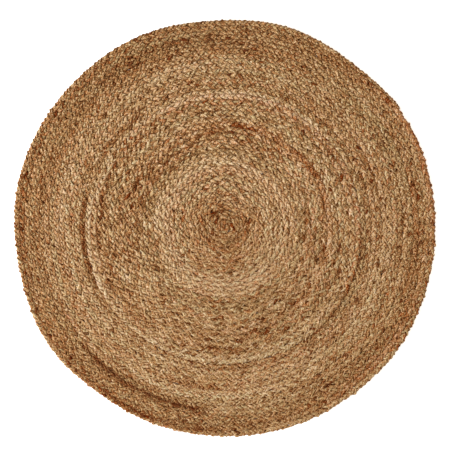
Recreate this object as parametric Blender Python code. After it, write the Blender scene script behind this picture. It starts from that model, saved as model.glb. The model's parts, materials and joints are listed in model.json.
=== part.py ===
"""Round rug of braided jute, at its real size, in metres with +Z up.

One long braid of three jute strands is coiled flat from the middle, clockwise
outwards, and each turn is sewn to the one inside it.  The rug is therefore one
flat solid: a flat underside, a spiral of low ribs on top with a groove at every
sewn join, a rounded rim, and the thinned end of the braid that stops short as a
small step in the outline.  Seen from above, +X is to the right and +Y is away.
"""
import math

import bmesh
import bpy

MM = 0.001

# The whole rug.
DIAMETER = 1200 * MM
CREST_HEIGHT = 10.0 * MM      # thickness over the middle of a row of braid
GROOVE_HEIGHT = 7.2 * MM      # thickness at the join of two rows

# The braid's width, which changes along its length as it was plaited.
ZONES = (
    {"out_to_share_of_radius": 0.28, "row_width": 14.0 * MM},
    {"out_to_share_of_radius": 0.43, "row_width": 15.4 * MM},
    {"out_to_share_of_radius": 0.65, "row_width": 16.3 * MM},
    {"out_to_share_of_radius": 0.81, "row_width": 14.9 * MM},
    {"out_to_share_of_radius": 2.00, "row_width": 14.3 * MM},
)

# The end of the braid: thinned over its last stretch and sewn down.
END_ANGLE = math.radians(34)
END_WIDTH = 5.0 * MM
THINNED_SHARE_OF_TURN = 0.09

# The outermost turns are drawn in so that the coil ends almost round.
ROUNDED_FROM_SHARE_OF_RADIUS = 0.70

# The unevenness of the outline, as lobes around it.
OUTLINE_LOBES = (
    {"lobes": 2, "size": 3.6 * MM, "turned": math.radians(18)},
    {"lobes": 3, "size": 0.5 * MM, "turned": math.radians(170)},
    {"lobes": 4, "size": 0.7 * MM, "turned": math.radians(-135)},
    {"lobes": 5, "size": 0.6 * MM, "turned": math.radians(-30)},
    {"lobes": 6, "size": 1.1 * MM, "turned": math.radians(-154)},
    {"lobes": 7, "size": 1.7 * MM, "turned": math.radians(-112)},
    {"lobes": 8, "size": 1.9 * MM, "turned": math.radians(137)},
    {"lobes": 10, "size": 1.0 * MM, "turned": math.radians(22)},
)

# How the rows waver inside the rug.  The waver dies out at the middle and rim.
ROW_WAVER = (
    {"lobes": 3, "size": 2.0 * MM, "turned": 0.6, "turn_to_rim": 4.0},
    {"lobes": 5, "size": 1.3 * MM, "turned": 2.1, "turn_to_rim": -6.0},
    {"lobes": 9, "size": 0.7 * MM, "turned": 4.4, "turn_to_rim": 9.0},
)

# The rounded rim, as insets from the outline going down from the last groove.
RIM_PROFILE = (
    {"inset": 1.8 * MM, "height": 7.8 * MM},
    {"inset": 0.0 * MM, "height": 4.6 * MM},
    {"inset": 2.4 * MM, "height": 0.0 * MM},
)

STEPS = 60                    # points in each turn of the coil
EYE_SHARE_OF_TURN = 0.5       # the first stretch of braid, folded up in the middle

JUTE_COLOR = (0.352, 0.187, 0.080, 1.0)
JUTE_ROUGHNESS = 0.9

RADIUS = DIAMETER / 2


def row_width(radius):
    """Width of the braid where the coil has this radius."""
    for zone in ZONES:
        if radius <= zone["out_to_share_of_radius"] * RADIUS:
            return zone["row_width"]
    return ZONES[-1]["row_width"]


def coil_radii():
    """Outer edge of the coil at each step from the middle, before it is uneven.

    The last turn's radii lie half a row either side of the rug's own radius.
    """
    radii = [0.0]
    while radii[-1] < RADIUS + row_width(RADIUS) / 2:
        radii.append(radii[-1] + row_width(radii[-1]) / STEPS)
    return radii


def smooth(share):
    """0 to 1 with level ends."""
    share = min(max(share, 0.0), 1.0)
    return share * share * (3 - 2 * share)


def rounding(back, width):
    """What draws the outermost turn to one radius, back turns before the end's angle."""
    even = width * (back - 0.5)
    at_the_end = width * 0.5
    near_end = 1 - smooth(back / THINNED_SHARE_OF_TURN)
    return even + (at_the_end - even) * near_end


def uneven(radius, angle):
    """How far the rug's unevenness moves a point of the coil outwards."""
    share = radius / RADIUS
    outline = sum(
        row["size"] * math.cos(row["lobes"] * angle + row["turned"]) for row in OUTLINE_LOBES
    )
    waver = sum(
        row["size"] * math.sin(row["lobes"] * angle + row["turned"] + row["turn_to_rim"] * share)
        for row in ROW_WAVER
    )
    return outline * share ** 1.5 + waver * math.sin(math.pi * min(share, 1.0)) ** 2


def coil_edges():
    """(angle, radius) of the braid's outer edge at each step from the middle."""
    radii = coil_radii()
    last = len(radii) - 1
    width = row_width(RADIUS)
    edges = []
    for step, radius in enumerate(radii):
        turns_back = (last - step) / STEPS
        back = turns_back % 1.0
        angle = END_ANGLE + 2 * math.pi * turns_back
        share = (radius / RADIUS - ROUNDED_FROM_SHARE_OF_RADIUS) / (1 - ROUNDED_FROM_SHARE_OF_RADIUS)
        drawn_in = rounding(back, width) * min(max(share, 0.0), 1.0) ** 2
        if turns_back < THINNED_SHARE_OF_TURN:
            drawn_in -= (width - END_WIDTH) * (1 - smooth(turns_back / THINNED_SHARE_OF_TURN))
        edges.append((angle, radius + drawn_in + uneven(radius, angle)))
    return edges


def at(angle, radius, height):
    """Point at an angle and radius from the coil's middle."""
    return (radius * math.cos(angle), radius * math.sin(angle), height)


def build_rug():
    """The rug as one closed solid: ribbed top, rounded rim and flat underside."""
    edges = coil_edges()
    last = len(edges) - 1
    eye = round(EYE_SHARE_OF_TURN * STEPS)
    rim_start = last - STEPS
    mesh = bmesh.new()
    middle_top = mesh.verts.new((0, 0, CREST_HEIGHT))
    middle_bottom = mesh.verts.new((0, 0, 0))

    grooves, crests, rim = {}, {}, {}
    for step, (angle, radius) in enumerate(edges):
        if step <= eye:
            grooves[step] = crests[step] = middle_top
            continue
        inner_radius = edges[step - STEPS][1] if step - STEPS > eye else 0.0
        crests[step] = mesh.verts.new(at(angle, (radius + inner_radius) / 2, CREST_HEIGHT))
        if step >= rim_start:
            rim[step] = [
                mesh.verts.new(at(angle, radius - ring["inset"], ring["height"]))
                for ring in RIM_PROFILE
            ]
            grooves[step] = rim[step][0]
        else:
            grooves[step] = mesh.verts.new(at(angle, radius, GROOVE_HEIGHT))

    def face(*corners):
        """Face through the corners, leaving out the repeats where a strip starts."""
        kept = list(dict.fromkeys(corners))
        if len(kept) > 2:
            mesh.faces.new(kept)

    for step in range(eye, last):
        inner = grooves.get(step - STEPS, middle_top)
        inner_next = grooves.get(step + 1 - STEPS, middle_top)
        face(inner, inner_next, crests[step + 1], crests[step])
        face(crests[step], crests[step + 1], grooves[step + 1], grooves[step])
    for step in range(rim_start, last):
        here, ahead = rim[step], rim[step + 1]
        for upper in range(len(RIM_PROFILE) - 1):
            face(here[upper], ahead[upper], ahead[upper + 1], here[upper + 1])
        face(here[-1], ahead[-1], middle_bottom)
    # The cut end of the braid, from the turn inside it round its own section.
    face(crests[last], *rim[last], *reversed(rim[rim_start]))
    face(rim[last][-1], rim[rim_start][-1], middle_bottom)

    # The middle of the box that holds the rug is the part's own middle.
    xs = [vert.co.x for vert in mesh.verts]
    ys = [vert.co.y for vert in mesh.verts]
    shift = (-(min(xs) + max(xs)) / 2, -(min(ys) + max(ys)) / 2, 0)
    bmesh.ops.translate(mesh, verts=mesh.verts[:], vec=shift)
    bmesh.ops.triangulate(mesh, faces=mesh.faces[:])
    bmesh.ops.recalc_face_normals(mesh, faces=mesh.faces[:])

    data = bpy.data.meshes.new("rug")
    mesh.to_mesh(data)
    mesh.free()
    rug = bpy.data.objects.new("rug", data)
    bpy.context.scene.collection.objects.link(rug)
    return rug


def jute_material():
    """Plain jute, as the braid looks from a distance."""
    material = bpy.data.materials.new("jute")
    material.use_nodes = True
    shader = material.node_tree.nodes["Principled BSDF"]
    shader.inputs["Base Color"].default_value = JUTE_COLOR
    shader.inputs["Roughness"].default_value = JUTE_ROUGHNESS
    shader.inputs["Metallic"].default_value = 0.0
    return material


def main():
    for old in list(bpy.data.objects):
        bpy.data.objects.remove(old, do_unlink=True)
    rug = build_rug()
    rug.data.materials.append(jute_material())


main()
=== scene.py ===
# Round rug of braided jute: three strands plaited, coiled flat and sewn turn to turn.
# Metres, +Z up, with the middle of the rug's box over the origin.
import json
import math

import bpy
import numpy as np
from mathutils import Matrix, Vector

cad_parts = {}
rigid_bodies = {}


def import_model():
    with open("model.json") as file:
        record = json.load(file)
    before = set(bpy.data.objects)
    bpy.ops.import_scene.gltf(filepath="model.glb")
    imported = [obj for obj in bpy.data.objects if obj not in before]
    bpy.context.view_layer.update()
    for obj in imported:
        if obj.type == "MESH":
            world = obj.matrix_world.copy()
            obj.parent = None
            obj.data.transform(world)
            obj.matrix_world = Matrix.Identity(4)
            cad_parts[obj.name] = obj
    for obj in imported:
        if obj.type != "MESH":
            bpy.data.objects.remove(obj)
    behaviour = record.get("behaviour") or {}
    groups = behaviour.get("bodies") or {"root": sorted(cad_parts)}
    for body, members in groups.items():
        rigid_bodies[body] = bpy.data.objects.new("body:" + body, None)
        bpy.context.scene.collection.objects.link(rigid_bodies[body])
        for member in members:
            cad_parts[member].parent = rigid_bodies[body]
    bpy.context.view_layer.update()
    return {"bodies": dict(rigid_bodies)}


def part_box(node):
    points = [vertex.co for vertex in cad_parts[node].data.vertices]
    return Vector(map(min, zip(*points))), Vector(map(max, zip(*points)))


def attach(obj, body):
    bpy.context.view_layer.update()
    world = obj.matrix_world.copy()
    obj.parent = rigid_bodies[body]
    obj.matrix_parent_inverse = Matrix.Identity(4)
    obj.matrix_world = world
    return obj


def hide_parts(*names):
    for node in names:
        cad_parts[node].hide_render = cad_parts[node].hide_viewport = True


mm = 0.001
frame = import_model()
rugLow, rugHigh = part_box("rug")
bodyName = next(iter(frame["bodies"]))
print("frame loaded, rug box in mm:", [round(side / mm, 1) for side in rugHigh - rugLow])

# The coil, laid out as in the solid that the strands replace.
coil = {
    "radius": 600 * mm,
    "endAngle": math.radians(34),   # where the braid stops at the rim
    "endWidth": 5.0 * mm,
    "thinnedTurn": 0.09,            # share of a turn over which the end is thinned
    "roundedFrom": 0.70,            # share of the radius from which the turns are drawn round
    "samples": 360,                 # along each turn
    "rowWidths": [
        {"outTo": 0.28, "width": 14.0 * mm},
        {"outTo": 0.43, "width": 15.4 * mm},
        {"outTo": 0.65, "width": 16.3 * mm},
        {"outTo": 0.81, "width": 14.9 * mm},
        {"outTo": 2.00, "width": 14.3 * mm},
    ],
    "outlinePower": 1.5,            # how the outline's lobes die out towards the eye
    "outline": [
        {"lobes": 2, "size": 3.6 * mm, "turned": math.radians(18)},
        {"lobes": 3, "size": 0.5 * mm, "turned": math.radians(170)},
        {"lobes": 4, "size": 0.7 * mm, "turned": math.radians(-135)},
        {"lobes": 5, "size": 0.6 * mm, "turned": math.radians(-30)},
        {"lobes": 6, "size": 1.1 * mm, "turned": math.radians(-154)},
        {"lobes": 7, "size": 1.7 * mm, "turned": math.radians(-112)},
        {"lobes": 8, "size": 1.9 * mm, "turned": math.radians(137)},
        {"lobes": 10, "size": 1.0 * mm, "turned": math.radians(22)},
    ],
    "waver": [
        {"lobes": 3, "size": 2.0 * mm, "turned": 0.6, "turnToRim": 4.0},
        {"lobes": 5, "size": 1.3 * mm, "turned": 2.1, "turnToRim": -6.0},
        {"lobes": 9, "size": 0.7 * mm, "turned": 4.4, "turnToRim": 9.0},
    ],
}


def smooth(share):
    # 0 to 1 with level ends.
    share = np.clip(share, 0.0, 1.0)
    return share * share * (3 - 2 * share)


def between(values, low, high):
    # 0 at low, 1 at high.
    return smooth((values - low) / (high - low))


def rowWidth(radius):
    for row in coil["rowWidths"]:
        if radius <= row["outTo"] * coil["radius"]:
            return row["width"]
    return coil["rowWidths"][-1]["width"]


def uneven(radius, angle):
    # How far the rug's unevenness moves a point of the coil outwards.
    share = radius / coil["radius"]
    outline = sum(
        lobe["size"] * np.cos(lobe["lobes"] * angle + lobe["turned"])
        for lobe in coil["outline"]
    )
    waver = sum(
        wave["size"] * np.sin(wave["lobes"] * angle + wave["turned"] + wave["turnToRim"] * share)
        for wave in coil["waver"]
    )
    inside = np.sin(math.pi * np.clip(share, 0, 1)) ** 2
    return outline * share ** coil["outlinePower"] + waver * inside


def layCoil():
    # The braid's two edges and middle line at every sample, from the eye to the rim.
    radii = [0.0]
    rimWidth = rowWidth(coil["radius"])
    while radii[-1] < coil["radius"] + rimWidth / 2:
        radii.append(radii[-1] + rowWidth(radii[-1]) / coil["samples"])
    plain = np.array(radii)
    turnsBack = np.arange(len(plain))[::-1] / coil["samples"]
    angle = coil["endAngle"] + 2 * math.pi * turnsBack
    back = turnsBack % 1.0
    nearEnd = 1 - smooth(back / coil["thinnedTurn"])
    rounding = rimWidth * ((back - 0.5) * (1 - nearEnd) + 0.5 * nearEnd)
    share = plain / coil["radius"]
    reach = np.clip((share - coil["roundedFrom"]) / (1 - coil["roundedFrom"]), 0, 1)
    thinned = (rimWidth - coil["endWidth"]) * (1 - smooth(turnsBack / coil["thinnedTurn"]))
    outer = plain + rounding * reach ** 2 - thinned + uneven(plain, angle)
    inner = np.concatenate([np.zeros(coil["samples"]), outer[:-coil["samples"]]])
    middle = (outer + inner) / 2
    step = np.hypot(np.diff(middle), middle[1:] * np.diff(angle))
    return {
        "angle": angle,
        "plain": plain,
        "middle": middle,
        "width": outer - inner,
        "along": np.concatenate([[0.0], np.cumsum(step)]),
        "rim": (outer[-coil["samples"]:], angle[-coil["samples"]:]),
    }


rows = layCoil()
rimX = rows["rim"][0] * np.cos(rows["rim"][1])
rimY = rows["rim"][0] * np.sin(rows["rim"][1])
# The rug's box is centred on the frame, so the eye of the coil lies a little off the middle.
eye = np.array([-(rimX.min() + rimX.max()) / 2, -(rimY.min() + rimY.max()) / 2])
braidLength = rows["along"][-1]
turns = len(rows["angle"]) / coil["samples"]
print(f"coil laid: {turns:.1f} turns, {braidLength:.1f} m of braid")

# The three strands of the braid.
braid = {
    "seed": 12,
    "strands": "ABC",
    "lengths": 5,                   # pieces that each strand is spliced from
    "startTurn": 0.20,              # the braid begins folded up in the eye
    "ribbon": 14.0 * mm,            # width of a strand's jute laid flat
    "usual": {"width": 14.3 * mm, "pitch": 14.5 * mm},      # a row whose strands have these sizes
    "halfWidth": 4.4 * mm,          # of a strand on top of the braid
    "halfThickness": 2.4 * mm,
    "widthFit": (0.45, 1.2),        # least and most that a narrow or wide row changes them
    "thicknessFit": (0.5, 1.1),
    "spread": 0.60,                 # how much wider a strand is pressed where it lies underneath
    "turnOver": 0.55,               # 1 turns the ribbon over evenly, less only near the edge
    "flatness": 0.6,                # of the section: 1 is an oval, less is more like a ribbon
    "lift": 2.05 * mm,              # how far a strand rides above or below the braid's middle
    "offFloor": 0.2 * mm,
    "straight": 0.04,               # how straight a strand crosses: 0 is a sine, 0.11 a zigzag
    "press": 0.06,                  # share of the width by which rows are pressed together
    "loosened": 0.25 * mm,          # how unevenly they are pressed
    "loosenedLength": 0.35,
    "loosenedSeed": 5,
    "loosenedPlaces": 4000,         # along the braid, where the values are worked out
    "rings": 12,                    # in one wave of a strand
    "sides": 8,
    "atEdges": 0.12,                # crowds the rings where a strand turns over
    "pitches": [                    # spacing of the strokes along the row
        {"radius": 0 * mm, "pitch": 16.0 * mm},
        {"radius": 165 * mm, "pitch": 16.3 * mm},
        {"radius": 195 * mm, "pitch": 18.6 * mm},
        {"radius": 360 * mm, "pitch": 18.8 * mm},
        {"radius": 400 * mm, "pitch": 13.9 * mm},
        {"radius": 620 * mm, "pitch": 13.2 * mm},
    ],
    "tilt": 0.06,                   # rise of the braid's outer edge over the next row
    "sideways": 1.3 * mm,           # unevenness of each stroke
    "upDown": 0.65 * mm,
    "forward": 2.5 * mm,
    "lastTurn": 1.6,                # rows from the coil's end to where its last turn begins
    "rimTidy": 0.85,                # how much more even that turn is sideways
    "fullness": {                   # how full or thin the strand is from place to place
        "size": 0.16,
        "spread": 1.4,              # of its two random values together
        "length": 0.25,             # along the row
        "range": (0.75, 1.3),
    },
    "lumps": 0.16,                  # of the section, where bundles of fibres stand out
    "lumpLength": 0.012,
}

# Tone is 0 for the darkest jute and 1 for the palest.
colours = {
    "bands": [                      # tone of the braid by the radius of its row
        {"radius": 0 * mm, "tone": 0.40},
        {"radius": 20 * mm, "tone": 0.39},
        {"radius": 60 * mm, "tone": 0.40},
        {"radius": 85 * mm, "tone": 0.53},
        {"radius": 145 * mm, "tone": 0.60},
        {"radius": 160 * mm, "tone": 0.67},
        {"radius": 185 * mm, "tone": 0.67},
        {"radius": 205 * mm, "tone": 0.59},
        {"radius": 222 * mm, "tone": 0.52},
        {"radius": 360 * mm, "tone": 0.51},
        {"radius": 375 * mm, "tone": 0.63},
        {"radius": 400 * mm, "tone": 0.48},
        {"radius": 430 * mm, "tone": 0.56},
        {"radius": 475 * mm, "tone": 0.58},
        {"radius": 505 * mm, "tone": 0.47},
        {"radius": 530 * mm, "tone": 0.41},
        {"radius": 600 * mm, "tone": 0.41},
    ],
    "streaks": [                    # other jute, by angle and distance from the eye
        # Dark stretches of one row or two.
        {"from": 218, "to": 240, "radius": 526 * mm, "reach": 8 * mm, "tone": -0.30},
        {"from": 240, "to": 262, "radius": 523 * mm, "reach": 7 * mm, "tone": -0.28},
        {"from": 127, "to": 150, "radius": 403 * mm, "reach": 5 * mm, "tone": -0.22},
        {"from": 165, "to": 190, "radius": 408 * mm, "reach": 6 * mm, "tone": -0.28},
        {"from": 180, "to": 205, "radius": 405 * mm, "reach": 6 * mm, "tone": -0.28},
        {"from": 300, "to": 322, "radius": 395 * mm, "reach": 5 * mm, "tone": -0.20},
        {"from": 320, "to": 356, "radius": 395 * mm, "reach": 7 * mm, "tone": -0.28},
        {"from": 160, "to": 179, "radius": 358 * mm, "reach": 5 * mm, "tone": -0.32},
        {"from": 180, "to": 190, "radius": 365 * mm, "reach": 5 * mm, "tone": -0.20},
        {"from": 257, "to": 275, "radius": 349 * mm, "reach": 6 * mm, "tone": -0.28},
        {"from": 275, "to": 300, "radius": 345 * mm, "reach": 6 * mm, "tone": -0.12},
        {"from": 98, "to": 102.5, "radius": 338 * mm, "reach": 5 * mm, "tone": -0.45},
        {"from": 93, "to": 97, "radius": 332 * mm, "reach": 5 * mm, "tone": -0.30},
        {"from": 29, "to": 38, "radius": 300 * mm, "reach": 5 * mm, "tone": -0.25},
        {"from": 42, "to": 48, "radius": 300 * mm, "reach": 5 * mm, "tone": -0.25},
        {"from": 12, "to": 19, "radius": 289 * mm, "reach": 4 * mm, "tone": -0.28},
        {"from": 150, "to": 158, "radius": 285 * mm, "reach": 6 * mm, "tone": -0.30},
        {"from": 67, "to": 74, "radius": 257 * mm, "reach": 5 * mm, "tone": -0.30},
        {"from": 57, "to": 62, "radius": 257 * mm, "reach": 5 * mm, "tone": -0.20},
        {"from": 75, "to": 87, "radius": 259 * mm, "reach": 5 * mm, "tone": -0.20},
        {"from": 30, "to": 38, "radius": 256 * mm, "reach": 6 * mm, "tone": -0.15},
        {"from": 141, "to": 148, "radius": 266 * mm, "reach": 9 * mm, "tone": -0.30},
        {"from": 130, "to": 136, "radius": 227 * mm, "reach": 7 * mm, "tone": -0.40},
        {"from": 66, "to": 76, "radius": 229 * mm, "reach": 6 * mm, "tone": -0.22},
        {"from": 81, "to": 87, "radius": 226 * mm, "reach": 6 * mm, "tone": -0.25},
        {"from": 160, "to": 167, "radius": 226 * mm, "reach": 5 * mm, "tone": -0.22},
        {"from": 131, "to": 136, "radius": 283 * mm, "reach": 4 * mm, "tone": -0.20},
        {"from": 85, "to": 135, "radius": 263 * mm, "reach": 17 * mm, "tone": -0.10},
        {"from": 100, "to": 150, "radius": 227 * mm, "reach": 11 * mm, "tone": -0.08},
        {"from": 150, "to": 185, "radius": 257 * mm, "reach": 34 * mm, "tone": -0.08},
        {"from": 117, "to": 121, "radius": 532 * mm, "reach": 6 * mm, "tone": -0.35},
        {"from": 100, "to": 135, "radius": 546 * mm, "reach": 14 * mm, "tone": -0.10},
        {"from": 84, "to": 90, "radius": 532 * mm, "reach": 5 * mm, "tone": -0.25},
        {"from": 57, "to": 70, "radius": 555 * mm, "reach": 6 * mm, "tone": -0.15},
        {"from": 62, "to": 70, "radius": 581 * mm, "reach": 7 * mm, "tone": -0.15},
        {"from": 125, "to": 150, "radius": 572 * mm, "reach": 17 * mm, "tone": -0.06},
        {"from": 32, "to": 42, "radius": 368 * mm, "reach": 7 * mm, "tone": -0.28},
        {"from": 42, "to": 50, "radius": 366 * mm, "reach": 6 * mm, "tone": -0.15},
        {"from": 31, "to": 50, "radius": 411 * mm, "reach": 6 * mm, "tone": -0.18},
        {"from": 15, "to": 24, "radius": 416 * mm, "reach": 6 * mm, "tone": -0.20},
        {"from": 15, "to": 28, "radius": 446 * mm, "reach": 7 * mm, "tone": -0.15},
        {"from": 50, "to": 53, "radius": 469 * mm, "reach": 5 * mm, "tone": -0.25},
        {"from": 158, "to": 168, "radius": 150 * mm, "reach": 4 * mm, "tone": -0.50},
        {"from": 168, "to": 173, "radius": 146 * mm, "reach": 4 * mm, "tone": -0.35},
        {"from": 164, "to": 171, "radius": 127 * mm, "reach": 5 * mm, "tone": -0.40},
        {"from": 200, "to": 205, "radius": 142 * mm, "reach": 4 * mm, "tone": -0.50},
        {"from": 212, "to": 217, "radius": 143 * mm, "reach": 5 * mm, "tone": -0.50},
        {"from": 235, "to": 241, "radius": 140 * mm, "reach": 4 * mm, "tone": -0.45},
        {"from": 192, "to": 197, "radius": 120 * mm, "reach": 5 * mm, "tone": -0.35},
        {"from": 277, "to": 283, "radius": 92 * mm, "reach": 4 * mm, "tone": -0.50},
        {"from": 355, "to": 361, "radius": 138 * mm, "reach": 4 * mm, "tone": -0.50},
        {"from": 250, "to": 258, "radius": 89 * mm, "reach": 4 * mm, "tone": -0.25},
        {"from": 120, "to": 142, "radius": 51 * mm, "reach": 9 * mm, "tone": -0.40},
        {"from": 41, "to": 51, "radius": 137 * mm, "reach": 5 * mm, "tone": -0.28},
        {"from": 22, "to": 27, "radius": 146 * mm, "reach": 5 * mm, "tone": -0.25},
        {"from": 72, "to": 80, "radius": 129 * mm, "reach": 4 * mm, "tone": -0.25},
        {"from": 96, "to": 104, "radius": 129 * mm, "reach": 4 * mm, "tone": -0.25},
        {"from": 258, "to": 274, "radius": 212 * mm, "reach": 6 * mm, "tone": -0.18},
        {"from": 284, "to": 290, "radius": 215 * mm, "reach": 5 * mm, "tone": -0.18},
        {"from": 250, "to": 270, "radius": 459 * mm, "reach": 5 * mm, "tone": -0.28},
        {"from": 229, "to": 236, "radius": 419 * mm, "reach": 6 * mm, "tone": -0.20},
        {"from": 196, "to": 203, "radius": 418 * mm, "reach": 6 * mm, "tone": -0.20},
        {"from": 249, "to": 254, "radius": 429 * mm, "reach": 5 * mm, "tone": -0.25},
        {"from": 308, "to": 314, "radius": 483 * mm, "reach": 6 * mm, "tone": -0.20},
        {"from": 325, "to": 329, "radius": 479 * mm, "reach": 5 * mm, "tone": -0.20},
        {"from": 333, "to": 342, "radius": 349 * mm, "reach": 6 * mm, "tone": -0.38},
        {"from": 318, "to": 325, "radius": 335 * mm, "reach": 6 * mm, "tone": -0.20},
        {"from": 328, "to": 334, "radius": 340 * mm, "reach": 6 * mm, "tone": -0.20},
        {"from": 287, "to": 294, "radius": 313 * mm, "reach": 5 * mm, "tone": -0.22},
        {"from": 300, "to": 306, "radius": 306 * mm, "reach": 5 * mm, "tone": -0.20},
        {"from": 308, "to": 322, "radius": 295 * mm, "reach": 5 * mm, "tone": -0.14},
        {"from": 351, "to": 357, "radius": 230 * mm, "reach": 7 * mm, "tone": -0.28},
        {"from": 188, "to": 194, "radius": 253 * mm, "reach": 5 * mm, "tone": -0.35},
        {"from": 189, "to": 193, "radius": 286 * mm, "reach": 6 * mm, "tone": -0.22},
        {"from": 197, "to": 215, "radius": 230 * mm, "reach": 5 * mm, "tone": -0.20},
        {"from": 274, "to": 277, "radius": 276 * mm, "reach": 5 * mm, "tone": -0.30},
        {"from": 0, "to": 30, "radius": 66 * mm, "reach": 3 * mm, "tone": -0.25},
        {"from": 345, "to": 359, "radius": 65 * mm, "reach": 3 * mm, "tone": -0.35},
        {"from": 28, "to": 60, "radius": 82 * mm, "reach": 3 * mm, "tone": -0.25},
        {"from": 180, "to": 185, "radius": 552 * mm, "reach": 5 * mm, "tone": -0.25},
        {"from": 215, "to": 225, "radius": 572 * mm, "reach": 9 * mm, "tone": -0.15},
        {"from": 237, "to": 250, "radius": 586 * mm, "reach": 9 * mm, "tone": -0.15},
        {"from": 218, "to": 223, "radius": 372 * mm, "reach": 6 * mm, "tone": -0.20},
        {"from": 203, "to": 209, "radius": 366 * mm, "reach": 6 * mm, "tone": -0.20},
        {"from": 225, "to": 240, "radius": 260 * mm, "reach": 5 * mm, "tone": -0.18},
        {"from": 330, "to": 350, "radius": 300 * mm, "reach": 5 * mm, "tone": -0.14},
        {"from": 310, "to": 330, "radius": 549 * mm, "reach": 11 * mm, "tone": -0.08},
        {"from": 338, "to": 360, "radius": 538 * mm, "reach": 14 * mm, "tone": -0.12},
        {"from": 203, "to": 208, "radius": 518 * mm, "reach": 6 * mm, "tone": -0.20},
        {"from": 195, "to": 202, "radius": 478 * mm, "reach": 9 * mm, "tone": -0.10},
        {"from": 275, "to": 283, "radius": 578 * mm, "reach": 9 * mm, "tone": -0.12},
        {"from": 144, "to": 150, "radius": 339 * mm, "reach": 4 * mm, "tone": -0.20},
        {"from": 149, "to": 155, "radius": 312 * mm, "reach": 5 * mm, "tone": -0.20},
        {"from": 155, "to": 160, "radius": 421 * mm, "reach": 9 * mm, "tone": -0.18},
        {"from": 75, "to": 82, "radius": 443 * mm, "reach": 5 * mm, "tone": -0.18},
        {"from": 18, "to": 30, "radius": 516 * mm, "reach": 7 * mm, "tone": -0.12},
        {"from": 60, "to": 95, "radius": 506 * mm, "reach": 9 * mm, "tone": -0.10},
        # Pale ones.
        {"from": 45, "to": 120, "radius": 383 * mm, "reach": 11 * mm, "tone": 0.13},
        {"from": 120, "to": 165, "radius": 383 * mm, "reach": 9 * mm, "tone": 0.07},
        {"from": 165, "to": 215, "radius": 393 * mm, "reach": 8 * mm, "tone": 0.22},
        {"from": 215, "to": 250, "radius": 386 * mm, "reach": 10 * mm, "tone": 0.10},
        {"from": 250, "to": 290, "radius": 379 * mm, "reach": 10 * mm, "tone": 0.14},
        {"from": 290, "to": 340, "radius": 376 * mm, "reach": 9 * mm, "tone": 0.09},
        {"from": 172, "to": 205, "radius": 516 * mm, "reach": 6 * mm, "tone": 0.17},
        {"from": 205, "to": 232, "radius": 514 * mm, "reach": 6 * mm, "tone": 0.12},
        {"from": 235, "to": 262, "radius": 489 * mm, "reach": 11 * mm, "tone": 0.12},
        {"from": 262, "to": 295, "radius": 483 * mm, "reach": 9 * mm, "tone": 0.12},
        {"from": 85, "to": 120, "radius": 475 * mm, "reach": 13 * mm, "tone": 0.08},
        {"from": 155, "to": 182, "radius": 475 * mm, "reach": 9 * mm, "tone": 0.12},
        {"from": 270, "to": 300, "radius": 438 * mm, "reach": 9 * mm, "tone": 0.08},
        {"from": 115, "to": 121, "radius": 263 * mm, "reach": 5 * mm, "tone": 0.28},
        {"from": 105, "to": 113, "radius": 255 * mm, "reach": 5 * mm, "tone": 0.22},
        {"from": 120, "to": 128, "radius": 289 * mm, "reach": 5 * mm, "tone": 0.20},
        {"from": 33, "to": 42, "radius": 285 * mm, "reach": 6 * mm, "tone": 0.18},
        {"from": 22, "to": 28, "radius": 315 * mm, "reach": 6 * mm, "tone": 0.15},
        {"from": 5, "to": 10, "radius": 386 * mm, "reach": 4 * mm, "tone": 0.25},
        {"from": 342, "to": 360, "radius": 315 * mm, "reach": 6 * mm, "tone": 0.14},
        {"from": 200, "to": 210, "radius": 315 * mm, "reach": 5 * mm, "tone": 0.20},
        {"from": 252, "to": 258, "radius": 253 * mm, "reach": 4 * mm, "tone": 0.20},
        {"from": 345, "to": 350, "radius": 222 * mm, "reach": 4 * mm, "tone": 0.20},
        {"from": 172, "to": 180, "radius": 94 * mm, "reach": 6 * mm, "tone": 0.25},
        {"from": 160, "to": 182, "radius": 200 * mm, "reach": 10 * mm, "tone": 0.12},
        {"from": 345, "to": 362, "radius": 478 * mm, "reach": 6 * mm, "tone": 0.12},
        {"from": 40, "to": 48, "radius": 535 * mm, "reach": 7 * mm, "tone": 0.12},
        # Broad ones, over several rows.
        {"from": 0, "to": 45, "radius": 290 * mm, "reach": 75 * mm, "tone": 0.06},
        {"from": 0, "to": 45, "radius": 210 * mm, "reach": 12 * mm, "tone": 0.05},
        {"from": 0, "to": 80, "radius": 412 * mm, "reach": 14 * mm, "tone": -0.05},
        {"from": 225, "to": 350, "radius": 414 * mm, "reach": 14 * mm, "tone": 0.05},
        {"from": -20, "to": 90, "radius": 530 * mm, "reach": 18 * mm, "tone": 0.07},
        {"from": 265, "to": 345, "radius": 520 * mm, "reach": 18 * mm, "tone": 0.09},
        {"from": 225, "to": 265, "radius": 528 * mm, "reach": 14 * mm, "tone": -0.15},
        {"from": 225, "to": 270, "radius": 580 * mm, "reach": 12 * mm, "tone": -0.20},
        {"from": 315, "to": 400, "radius": 585 * mm, "reach": 12 * mm, "tone": 0.08},
        {"from": 180, "to": 315, "radius": 212 * mm, "reach": 12 * mm, "tone": -0.11},
        {"from": 180, "to": 225, "radius": 340 * mm, "reach": 25 * mm, "tone": -0.04},
        {"from": 0, "to": 130, "radius": 130 * mm, "reach": 12 * mm, "tone": 0.05},
        {"from": 225, "to": 300, "radius": 115 * mm, "reach": 18 * mm, "tone": -0.08},
        {"from": 180, "to": 315, "radius": 157 * mm, "reach": 12 * mm, "tone": 0.06},
        {"from": 0, "to": 130, "radius": 157 * mm, "reach": 10 * mm, "tone": -0.05},
        {"from": 45, "to": 90, "radius": 385 * mm, "reach": 10 * mm, "tone": 0.05},
        {"from": 100, "to": 300, "radius": 72 * mm, "reach": 14 * mm, "tone": -0.05},
        {"from": 150, "to": 225, "radius": 587 * mm, "reach": 12 * mm, "tone": -0.08},
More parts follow.
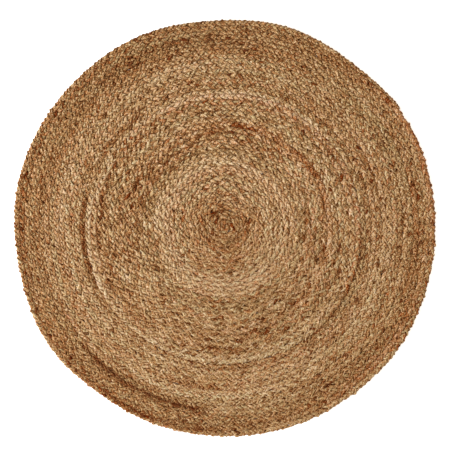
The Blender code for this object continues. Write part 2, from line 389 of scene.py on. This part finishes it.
        {"from": 180, "to": 270, "radius": 600 * mm, "reach": 6 * mm, "tone": 0.14},
        {"from": 270, "to": 315, "radius": 585 * mm, "reach": 14 * mm, "tone": 0.08},
        {"from": 0, "to": 45, "radius": 590 * mm, "reach": 12 * mm, "tone": 0.05},
        {"from": 135, "to": 180, "radius": 528 * mm, "reach": 14 * mm, "tone": -0.08},
        {"from": 0, "to": 135, "radius": 443 * mm, "reach": 14 * mm, "tone": -0.08},
        {"from": 45, "to": 90, "radius": 415 * mm, "reach": 12 * mm, "tone": -0.07},
        {"from": 315, "to": 360, "radius": 186 * mm, "reach": 13 * mm, "tone": -0.10},
        {"from": 270, "to": 315, "radius": 243 * mm, "reach": 12 * mm, "tone": -0.07},
        {"from": 180, "to": 225, "radius": 243 * mm, "reach": 12 * mm, "tone": 0.07},
        {"from": 90, "to": 225, "radius": 100 * mm, "reach": 12 * mm, "tone": -0.08},
        {"from": 40, "to": 90, "radius": 72 * mm, "reach": 12 * mm, "tone": 0.10},
        {"from": 225, "to": 262, "radius": 72 * mm, "reach": 12 * mm, "tone": 0.10},
        {"from": 268, "to": 315, "radius": 72 * mm, "reach": 12 * mm, "tone": -0.10},
        {"from": 45, "to": 135, "radius": 43 * mm, "reach": 12 * mm, "tone": -0.09},
        {"from": 270, "to": 315, "radius": 43 * mm, "reach": 12 * mm, "tone": -0.14},
    ],
    "streakEnd": 6 * mm,            # over which, and its reach, a stretch fades out at its ends
    "streakFade": (0.3, 1.3),       # shares of its reach where it begins to fade and has faded
    "hankLength": 0.30,             # metres before a strand's own tone has changed
    "hankTone": 0.02,
    "strokeTones": [                # how much strokes differ in tone, by the radius of their row
        {"radius": 0 * mm, "spread": 0.051},
        {"radius": 130 * mm, "spread": 0.051},
        {"radius": 150 * mm, "spread": 0.0255},
        {"radius": 200 * mm, "spread": 0.034},
        {"radius": 230 * mm, "spread": 0.102},
        {"radius": 400 * mm, "spread": 0.0935},
        {"radius": 440 * mm, "spread": 0.068},
        {"radius": 600 * mm, "spread": 0.068},
    ],
    "darkStroke": 1.3,              # how much further dark strokes depart than that
    "paleStroke": 0.75,             # and pale ones
    "rowTone": 0.03,                # how much the braid's own tone changes along it
    "rowLength": 0.35,
    # Painted light and shade on the lumps: paler where a bundle stands out, darker where it
    # sinks.
    "lumpLightAndShade": 0.04,
    "warmthLength": 0.5,
    "strokeWarmth": 0.5,            # of single strokes, beside the strand's own
    "barkShare": 0.02,              # strokes with a dark piece of bark in them
    "barkTone": -0.40,
}

# What lies in shade: 0 is clear and 1 is the deepest place.
shades = {
    # The seam between rows, by the share of the way to it.
    "seam": {"shade": 0.2, "from": 0.6, "to": 1.0},
    # Added where the rows gape, by how loose they are.
    "gape": {"shade": 0.4, "from": 0.0, "to": 1.5},
    # Where a strand goes under another, by its height in the plait.
    "dive": {"shade": 0.1, "from": 0.6, "to": -0.6},
    # Between the strands, by the height off the braid's middle.
    "crevice": {"shade": 1.0, "from": 1.8 * mm, "to": 0.4 * mm},
    # The edges of each strand, by the share of its own height.
    "edge": {"shade": 1.0, "from": 1.0, "to": 0.3},
    # What the outer edge of the rim is spared, by the share of its row.
    "free": {"shade": 0.5, "from": 0.1, "to": 0.3},
}


def shadeBy(name, values):
    row = shades[name]
    return row["shade"] * between(values, row["from"], row["to"])


def drift(places, spacing, rng):
    # Smooth random values around 0, one knot every spacing.
    first = math.floor(places.min() / spacing)
    count = math.ceil(places.max() / spacing) - first + 2
    knots = rng.normal(0, 1, count)
    share = places / spacing - first
    knot = np.clip(share.astype(int), 0, count - 2)
    blend = smooth(share - knot)
    return knots[knot] * (1 - blend) + knots[knot + 1] * blend


def perStroke(stroke, rng):
    # One random value around 0 for each stroke.
    return rng.normal(0, 1, int(stroke.max()) + 2)[stroke.astype(int)]


def signedPower(values, power):
    return np.sign(values) * np.abs(values) ** power


def table(entries, name, radius):
    return np.interp(radius, [row["radius"] for row in entries], [row[name] for row in entries])


def streakTone(angle, radius):
    # What the charted stretches add to the tone at each place of the coil.
    tone = np.zeros(len(angle))
    fadeFrom, fadeTo = colours["streakFade"]
    for streak in colours["streaks"]:
        reach = streak["reach"]
        halfSpan = (streak["to"] - streak["from"]) / 2
        centre = (streak["to"] + streak["from"]) / 2
        away = np.abs((np.degrees(angle) - centre + 180) % 360 - 180)
        halfFade = math.degrees((colours["streakEnd"] + reach) / streak["radius"]) / 2
        inSpan = 1 - between(away, halfSpan - halfFade, halfSpan + halfFade)
        offRow = np.abs(radius - streak["radius"])
        inRow = 1 - between(offRow, fadeFrom * reach, fadeTo * reach)
        tone += streak["tone"] * inSpan * inRow
    return tone


def plaitPhase():
    # Phase of the plait at every sample of the coil: one wave is three strokes.
    wave = 3 * table(braid["pitches"], "pitch", rows["plain"])
    advance = np.diff(rows["along"]) / ((wave[1:] + wave[:-1]) / 2)
    return 2 * math.pi * np.concatenate([[0.0], np.cumsum(advance)])


phaseOfCoil = plaitPhase()
rimFrom = rows["plain"][-1] - braid["lastTurn"] * rowWidth(coil["radius"])
braidRandom = np.random.default_rng(braid["loosenedSeed"])
placesAlong = np.linspace(0, braidLength, braid["loosenedPlaces"])
looseValues = drift(placesAlong, braid["loosenedLength"], braidRandom)
toneValues = drift(placesAlong, colours["rowLength"], braidRandom)


def followRings(index):
    # Phase of one strand at each of its rings, and the coil's own values there.
    start = int(braid["startTurn"] * coil["samples"])
    lead = 2 * math.pi * index / len(braid["strands"])
    firstRing = math.ceil((phaseOfCoil[start] + lead) / (2 * math.pi) * braid["rings"])
    lastRing = math.floor((phaseOfCoil[-1] + lead) / (2 * math.pi) * braid["rings"]) - 1
    raw = np.arange(firstRing, lastRing + 1) * 2 * math.pi / braid["rings"]
    phase = raw + braid["atEdges"] * np.sin(2 * raw)
    sample = np.arange(len(phaseOfCoil))
    atCoil = np.interp(phase - lead, phaseOfCoil, sample)
    row = {
        name: np.interp(atCoil, sample, rows[name])
        for name in ("angle", "middle", "width", "plain", "along")
    }
    row["plain"] = row["plain"] - row["width"] / 2      # from the row's outer edge to its middle
    row["loose"] = np.interp(row["along"], placesAlong, looseValues)
    row["tone"] = np.interp(row["along"], placesAlong, toneValues)
    return phase, row


def strandSection(phase, row, stroke, rng):
    # Half width and half thickness, ring by ring.
    fullness = braid["fullness"]
    fit = np.clip(row["width"] / braid["usual"]["width"], *braid["widthFit"])
    pitch = table(braid["pitches"], "pitch", row["plain"])
    wideFit = np.sqrt(fit * pitch / braid["usual"]["pitch"])
    fuller = drift(row["along"], fullness["length"], rng) + drift(stroke, 1.0, rng)
    full = np.clip(1 + fullness["size"] * fuller / fullness["spread"], *fullness["range"])
    under = (1 - np.sin(2 * phase)) / 2
    halfWidth = braid["halfWidth"] * wideFit * full * (1 + braid["spread"] * under)
    halfThickness = braid["halfThickness"] * np.clip(fit, *braid["thicknessFit"]) * np.sqrt(full)
    return halfWidth, halfThickness


def strandPath(phase, row, halfThickness, stroke, rng):
    # Middle line of the strand, which winds from edge to edge of its row, over and under.
    sway = row["width"] * (0.5 + braid["press"]) - halfThickness
    sway += braid["loosened"] * row["loose"]
    crossing = (np.sin(phase) - braid["straight"] * np.sin(3 * phase)) / (1 + braid["straight"])
    atRim = smooth((row["plain"] - rimFrom) / row["width"])
    sideways = braid["sideways"] * (1 - braid["rimTidy"] * atRim)
    lateral = sway * crossing + sideways * drift(stroke, 1.0, rng)
    height = braid["lift"] * np.sin(2 * phase) + braid["upDown"] * drift(stroke, 1.0, rng)
    height += braid["tilt"] * lateral
    forward = braid["forward"] * drift(stroke, 1.0, rng)
    outward = np.stack([np.cos(row["angle"]), np.sin(row["angle"])], 1)
    onward = np.stack([np.sin(row["angle"]), -np.cos(row["angle"])], 1)
    flat = outward * (row["middle"] + lateral)[:, None] + onward * forward[:, None] + eye
    path = np.column_stack([flat, braid["lift"] + braid["halfThickness"] + height])
    return path, lateral, sway


def ribbonWays(path, phase):
    # The ribbon's flat and thick ways. It turns over at each edge of the braid.
    heading = np.gradient(path, axis=0)
    heading /= np.linalg.norm(heading, axis=1)[:, None]
    across = np.cross(heading, [0.0, 0.0, 1.0])
    across /= np.linalg.norm(across, axis=1)[:, None]
    above = np.cross(across, heading)
    roll = math.pi / 2 * (1 - signedPower(np.cos(phase), braid["turnOver"]))[:, None]
    flatWay = across * np.cos(roll) + above * np.sin(roll)
    thickWay = above * np.cos(roll) - across * np.sin(roll)
    return flatWay, thickWay


def strandTone(row, lateral, stroke, rng):
    tone = table(colours["bands"], "tone", row["plain"])
    tone += streakTone(row["angle"], row["middle"] + lateral)
    tone += colours["hankTone"] * drift(row["along"], colours["hankLength"], rng)
    strokes = perStroke(stroke, rng)
    skew = np.where(strokes < 0, colours["darkStroke"], colours["paleStroke"])
    tone += table(colours["strokeTones"], "spread", row["plain"]) * skew * strokes
    tone += colours["rowTone"] * row["tone"]
    bark = rng.random(int(stroke.max()) + 2) < colours["barkShare"]
    tone += colours["barkTone"] * bark[stroke.astype(int)]
    return tone


def followStrand(index, rng):
    # One whole strand, ring by ring.
    phase, row = followRings(index)
    stroke = phase / math.pi + 0.25     # whole numbers lie where the strand is lowest
    halfWidth, halfThickness = strandSection(phase, row, stroke, rng)
    path, lateral, sway = strandPath(phase, row, halfThickness, stroke, rng)
    flatWay, thickWay = ribbonWays(path, phase)
    tone = strandTone(row, lateral, stroke, rng)
    warmth = drift(row["along"], colours["warmthLength"], rng)
    warmth += colours["strokeWarmth"] * perStroke(stroke, rng)
    lumps = [drift(row["along"], braid["lumpLength"], rng) for side in range(braid["sides"])]
    atSeam = between(np.abs(lateral) / sway, shades["seam"]["from"], shades["seam"]["to"])
    seam = atSeam * (shades["seam"]["shade"] + shadeBy("gape", -row["loose"]))
    steps = np.linalg.norm(np.diff(path, axis=0), axis=1)
    return {
        "path": path,
        "flatWay": flatWay,
        "thickWay": thickWay,
        "halfWidth": halfWidth,
        "halfThickness": halfThickness,
        "stroke": stroke,
        "tone": tone,
        "warmth": warmth,
        "lumps": np.stack(lumps, 1),
        "hidden": np.maximum(seam, shadeBy("dive", np.sin(2 * phase))),
        "free": shadeBy("free", lateral / row["width"]) * (row["plain"] > rimFrom),
        "travelled": np.concatenate([[0], np.cumsum(steps)]),
    }


def tubePoints(part, turn):
    swell = 1 + braid["lumps"] * part["lumps"]
    spread = swell * signedPower(np.cos(turn), braid["flatness"]) * part["halfWidth"][:, None]
    rise = swell * signedPower(np.sin(turn), braid["flatness"]) * part["halfThickness"][:, None]
    points = part["path"][:, None, :] + part["flatWay"][:, None, :] * spread[..., None]
    points = points + part["thickWay"][:, None, :] * rise[..., None]
    points[..., 2] = np.maximum(points[..., 2], braid["offFloor"])
    return points


def shadeOf(points, part):
    # Each point is as dark as the deepest of the shades on it.
    height = points[..., 2]
    offMiddle = np.abs(height - braid["lift"] - braid["halfThickness"])
    offEdge = np.abs(height - part["path"][:, None, 2]) / part["halfThickness"][:, None]
    shaded = np.maximum(shadeBy("crevice", offMiddle), shadeBy("edge", offEdge))
    shaded = np.maximum(shaded, part["hidden"][:, None])
    return shaded * (1 - part["free"][:, None])


# The map for baking folds the strand into rows that fill the square.
folds = {
    "rows": 24,
    "gap": 0.002,                   # left round each row, as a share of the square
    "spare": 4,                     # spaces between rings, kept free for the two ends
    "endsAt": (1, 3),               # their middles, in spaces from the end of the last row
    "endSize": 0.8,
}


def unrolledCorners(part, ring, side):
    # Along the strand and round it, in metres. Both ends are closed with its first jute.
    sides = braid["sides"]
    girth = 2 * math.pi * math.sqrt((braid["halfWidth"] ** 2 + braid["halfThickness"] ** 2) / 2)
    along = part["travelled"][np.stack([ring, ring, ring + 1, ring + 1], -1)]
    around = np.stack([side, side + 1, side + 1, side], -1) / sides * girth
    walls = np.stack([along.ravel(), around.ravel()], 1)
    return np.concatenate([walls, np.tile([part["travelled"][0], 0.0], (2 * sides, 1))])


def foldedCorners(ring, side, turn):
    rowsDeep = folds["rows"]
    gap = folds["gap"]
    inRow = math.ceil((len(ring) + folds["spare"]) / rowsDeep)
    start = ring % inRow
    along = gap + (1 - 2 * gap) * np.stack([start, start, start + 1, start + 1], -1) / inRow
    around = np.stack([side, side + 1, side + 1, side], -1) / len(turn)
    around = (ring // inRow)[..., None] / rowsDeep + gap + (1 / rowsDeep - 2 * gap) * around
    walls = np.stack([along.ravel(), around.ravel()], 1)
    space = (1 - 2 * gap) / inRow
    disc = folds["endSize"] * space * np.stack([np.cos(turn), np.sin(turn)], 1)
    ends = [disc + [1 - gap - back * space, 1 - 0.5 / rowsDeep] for back in folds["endsAt"]]
    return np.concatenate([walls, *ends])


def tubeMesh(name, strand, first, last):
    # Closed tube along rings first to last, with its maps and tones.
    part = {key: values[first:last + 1] for key, values in strand.items()}
    sides = braid["sides"]
    turn = np.arange(sides) * 2 * math.pi / sides
    points = tubePoints(part, turn)
    ring, side = np.meshgrid(np.arange(last - first), np.arange(sides), indexing="ij")
    following = (side + 1) % sides
    corners = [ring * sides + side, ring * sides + following]
    corners += [(ring + 1) * sides + following, (ring + 1) * sides + side]
    walls = np.stack(corners, -1).reshape(-1, 4)
    startCap = np.arange(sides)[::-1]
    endCap = (last - first) * sides + np.arange(sides)
    faces = [*walls.tolist(), startCap.tolist(), endCap.tolist()]
    mesh = bpy.data.meshes.new(name)
    mesh.from_pydata(points.reshape(-1, 3), [], faces)
    painted = {
        # The tone also carries painted light and shade: paler on lumps that stand out, darker
        # where they sink.
        "tone": part["tone"][:, None] + colours["lumpLightAndShade"] * part["lumps"],
        "warmth": np.repeat(part["warmth"], sides),
        "shaded": shadeOf(points, part),
    }
    for key, values in painted.items():
        values = values.astype(np.float32).ravel()
        mesh.attributes.new(key, "FLOAT", "POINT").data.foreach_set("value", values)
    maps = {
        "strand": unrolledCorners(part, ring, side),
        "OFBake": foldedCorners(ring, side, turn),
    }
    for key, places in maps.items():
        layer = mesh.uv_layers.new(name=key)
        layer.data.foreach_set("uv", places.astype(np.float32).ravel())
    mesh.uv_layers.active = mesh.uv_layers["strand"]
    mesh.shade_smooth()
    return mesh


def makeStrands():
    rng = np.random.default_rng(braid["seed"])
    made = []
    for index, letter in enumerate(braid["strands"]):
        strand = followStrand(index, rng)
        rings = len(strand["path"])
        underneath = np.flatnonzero(np.diff(np.floor(strand["stroke"])) > 0)
        aims = np.linspace(0, rings - 1, braid["lengths"] + 1)[1:-1]
        splices = [int(underneath[np.abs(underneath - aim).argmin()]) for aim in aims]
        ends = [0, *splices, rings - 1]
        for number, (first, last) in enumerate(zip(ends, ends[1:]), 1):
            name = f"strand{letter}{number}"
            piece = bpy.data.objects.new(name, tubeMesh(name, strand, first, last))
            bpy.context.scene.collection.objects.link(piece)
            length = float(strand["travelled"][last] - strand["travelled"][first])
            made.append((piece, length))
            print(f"{name}: {length:.2f} m, {len(piece.data.polygons)} faces")
    return made


# The jute itself.
jute = {
    "ramp": [                       # sRGB, by tone
        {"at": 0.00, "rgb": (86, 44, 22)},
        {"at": 0.25, "rgb": (131, 86, 48)},
        {"at": 0.50, "rgb": (166, 133, 86)},
        {"at": 0.75, "rgb": (184, 159, 122)},
        {"at": 1.00, "rgb": (198, 177, 150)},
    ],
    "fibreTone": 0.22,              # how much single fibres differ in tone
    "fibreWidth": 0.5 * mm,
    "fibreLength": 16 * mm,
    "fibreDetail": 2,
    "fibreBump": 0.15 * mm,
    "bundleTone": 0.46,             # and bundles of them
    "bundleWidth": 1.5 * mm,
    "bundleLength": 4 * mm,
    "bundleDetail": 1,
    "bundleBump": 0.6 * mm,
    "noiseReach": 0.25,             # noise lies mostly within this of its middle, 0.5
    "warmth": 0.0068,               # shift of hue between redder and greyer jute
    "greying": 0.04,                # change of saturation with it
    "shade": (0.44, 0.22, 0.09),    # what deep places keep of the light's red, green and blue
    "roughness": 0.78,
}


def linear(rgb):
    # sRGB of 0 to 255 as Blender's own colour.
    shares = [value / 255 for value in rgb]
    curved = [
        share / 12.92 if share <= 0.04045 else ((share + 0.055) / 1.055) ** 2.4
        for share in shares
    ]
    return [*curved, 1.0]


def juteMaterial():
    material = bpy.data.materials.new("jute")
    material.use_nodes = True
    nodes = material.node_tree.nodes
    link = material.node_tree.links.new
    shader = nodes["Principled BSDF"]
    shader.inputs["Roughness"].default_value = jute["roughness"]
    shader.inputs["Specular IOR Level"].default_value = 0.0

    strandMap = nodes.new("ShaderNodeUVMap")
    strandMap.uv_map = "strand"

    def fibres(width, length, detail):
        mapping = nodes.new("ShaderNodeMapping")
        mapping.inputs["Scale"].default_value = (1 / length, 1 / width, 1)
        link(strandMap.outputs["UV"], mapping.inputs["Vector"])
        noise = nodes.new("ShaderNodeTexNoise")
        noise.noise_dimensions = "2D"
        noise.inputs["Scale"].default_value = 1
        noise.inputs["Detail"].default_value = detail
        link(mapping.outputs["Vector"], noise.inputs["Vector"])
        return noise.outputs["Fac"]

    def calculate(operation, first, second):
        node = nodes.new("ShaderNodeMath")
        node.operation = operation
        for socket, value in zip(node.inputs, (first, second)):
            if isinstance(value, (int, float)):
                socket.default_value = value
            else:
                link(value, socket)
        return node.outputs[0]

    def attribute(name):
        node = nodes.new("ShaderNodeAttribute")
        node.attribute_name = name
        return node.outputs["Fac"]

    def toneOf(noise, size):
        return calculate("MULTIPLY", calculate("SUBTRACT", noise, 0.5), size / jute["noiseReach"])

    def warmed(size, middle):
        return calculate("ADD", calculate("MULTIPLY", attribute("warmth"), size), middle)

    fine = fibres(jute["fibreWidth"], jute["fibreLength"], jute["fibreDetail"])
    bundles = fibres(jute["bundleWidth"], jute["bundleLength"], jute["bundleDetail"])
    mixed = calculate("ADD", toneOf(fine, jute["fibreTone"]), toneOf(bundles, jute["bundleTone"]))
    tone = calculate("ADD", attribute("tone"), mixed)
    ramp = nodes.new("ShaderNodeValToRGB")
    ramp.color_ramp.interpolation = "LINEAR"
    stops = ramp.color_ramp.elements
    while len(stops) < len(jute["ramp"]):
        stops.new(0.5)
    for stop, row in zip(stops, jute["ramp"]):
        stop.position = row["at"]
        stop.color = linear(row["rgb"])
    link(tone, ramp.inputs["Fac"])
    hue = nodes.new("ShaderNodeHueSaturation")
    link(warmed(-jute["warmth"], 0.5), hue.inputs["Hue"])
    link(warmed(jute["greying"], 1.0), hue.inputs["Saturation"])
    link(ramp.outputs["Color"], hue.inputs["Color"])
    deep = nodes.new("ShaderNodeMix")
    deep.data_type = "RGBA"
    deep.blend_type = "MULTIPLY"
    sockets = {socket.identifier: socket for socket in [*deep.inputs, *deep.outputs]}
    sockets["B_Color"].default_value = (*jute["shade"], 1.0)
    link(attribute("shaded"), sockets["Factor_Float"])
    link(hue.outputs["Color"], sockets["A_Color"])
    link(sockets["Result_Color"], shader.inputs["Base Color"])

    bump = nodes.new("ShaderNodeBump")
    bump.inputs["Distance"].default_value = jute["bundleBump"]
    fineHeight = calculate("MULTIPLY", fine, jute["fibreBump"] / jute["bundleBump"])
    link(calculate("ADD", fineHeight, bundles), bump.inputs["Height"])
    link(bump.outputs["Normal"], shader.inputs["Normal"])
    return material


# Floor, light and camera.
studio = {
    "floorSide": 40.0,
    "floorAlbedo": 0.95,
    "floorRoughness": 0.9,
    "floorGlow": 0.45,              # a lit floor round the rug, so that no shadow greys it
    "glowFrom": 0.585,              # where it begins, in metres from the middle, under the rim
    "glowWidth": 0.01,
    "sky": 0.93,
    "skyColour": (1.0, 0.88, 0.74),         # warm, as light is that comes off the jute around
    "keyPower": 1170.0,
    "keyColour": (0.94, 1.0, 1.1),
    "keySize": 4.0,
    "keyAway": 8.0,
    "keyFrom": math.radians(196),   # the side that the light comes from, seen from above
    "keyHeight": math.radians(26),
}
view = {
    "away": 4.0,
    "across": 1.2873,               # width of the picture at the rug, in metres
    "centre": (0.0008, 0.0093),
    "sensor": 36.0,
    "sees": 50.0,
}


def makeFloor():
    bpy.ops.mesh.primitive_plane_add(size=studio["floorSide"], location=(0, 0, 0))
    floor = bpy.context.object
    floor.name = "floor"
    material = bpy.data.materials.new("floor white")
    material.use_nodes = True
    shader = material.node_tree.nodes["Principled BSDF"]
    shader.inputs["Base Color"].default_value = [studio["floorAlbedo"]] * 3 + [1.0]
    shader.inputs["Roughness"].default_value = studio["floorRoughness"]
    shader.inputs["Emission Color"].default_value = (1, 1, 1, 1)
    nodes = material.node_tree.nodes
    link = material.node_tree.links.new
    place = nodes.new("ShaderNodeTexCoord")
    away = nodes.new("ShaderNodeVectorMath")
    away.operation = "LENGTH"
    link(place.outputs["Object"], away.inputs[0])
    glow = nodes.new("ShaderNodeMapRange")
    glow.inputs["From Min"].default_value = studio["glowFrom"]
    glow.inputs["From Max"].default_value = studio["glowFrom"] + studio["glowWidth"]
    glow.inputs["To Max"].default_value = studio["floorGlow"]
    link(away.outputs["Value"], glow.inputs["Value"])
    link(glow.outputs["Result"], shader.inputs["Emission Strength"])
    floor.data.materials.append(material)


def makeLight():
    world = bpy.data.worlds.new("studio")
    world.use_nodes = True
    sky = world.node_tree.nodes["Background"]
    sky.inputs["Color"].default_value = (*studio["skyColour"], 1)
    sky.inputs["Strength"].default_value = studio["sky"]
    bpy.context.scene.world = world
    key = bpy.data.lights.new("key", "AREA")
    key.shape = "SQUARE"
    key.size = studio["keySize"]
    key.energy = studio["keyPower"]
    key.color = studio["keyColour"]
    lamp = bpy.data.objects.new("key", key)
    level = math.cos(studio["keyHeight"]) * studio["keyAway"]
    lamp.location = (
        level * math.cos(studio["keyFrom"]),
        level * math.sin(studio["keyFrom"]),
        math.sin(studio["keyHeight"]) * studio["keyAway"],
    )
    lamp.rotation_euler = (0, math.pi / 2 - studio["keyHeight"], studio["keyFrom"])
    bpy.context.scene.collection.objects.link(lamp)
    bpy.context.scene.view_settings.view_transform = "Standard"


def makeCamera():
    lens = bpy.data.cameras.new("camera")
    lens.sensor_width = view["sensor"]
    lens.lens = view["sensor"] * view["away"] / view["across"]
    lens.clip_end = view["sees"]
    camera = bpy.data.objects.new("camera", lens)
    camera.location = (*view["centre"], rugHigh.z + view["away"])
    bpy.context.scene.collection.objects.link(camera)
    bpy.context.scene.camera = camera


makeCamera()
makeFloor()
makeLight()
print("camera, floor and light placed")
juteLook = juteMaterial()
print("jute mixed")
for piece, length in makeStrands():
    piece.data.materials.append(juteLook)
    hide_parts("rug")
    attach(piece, bodyName)
print("strands made")
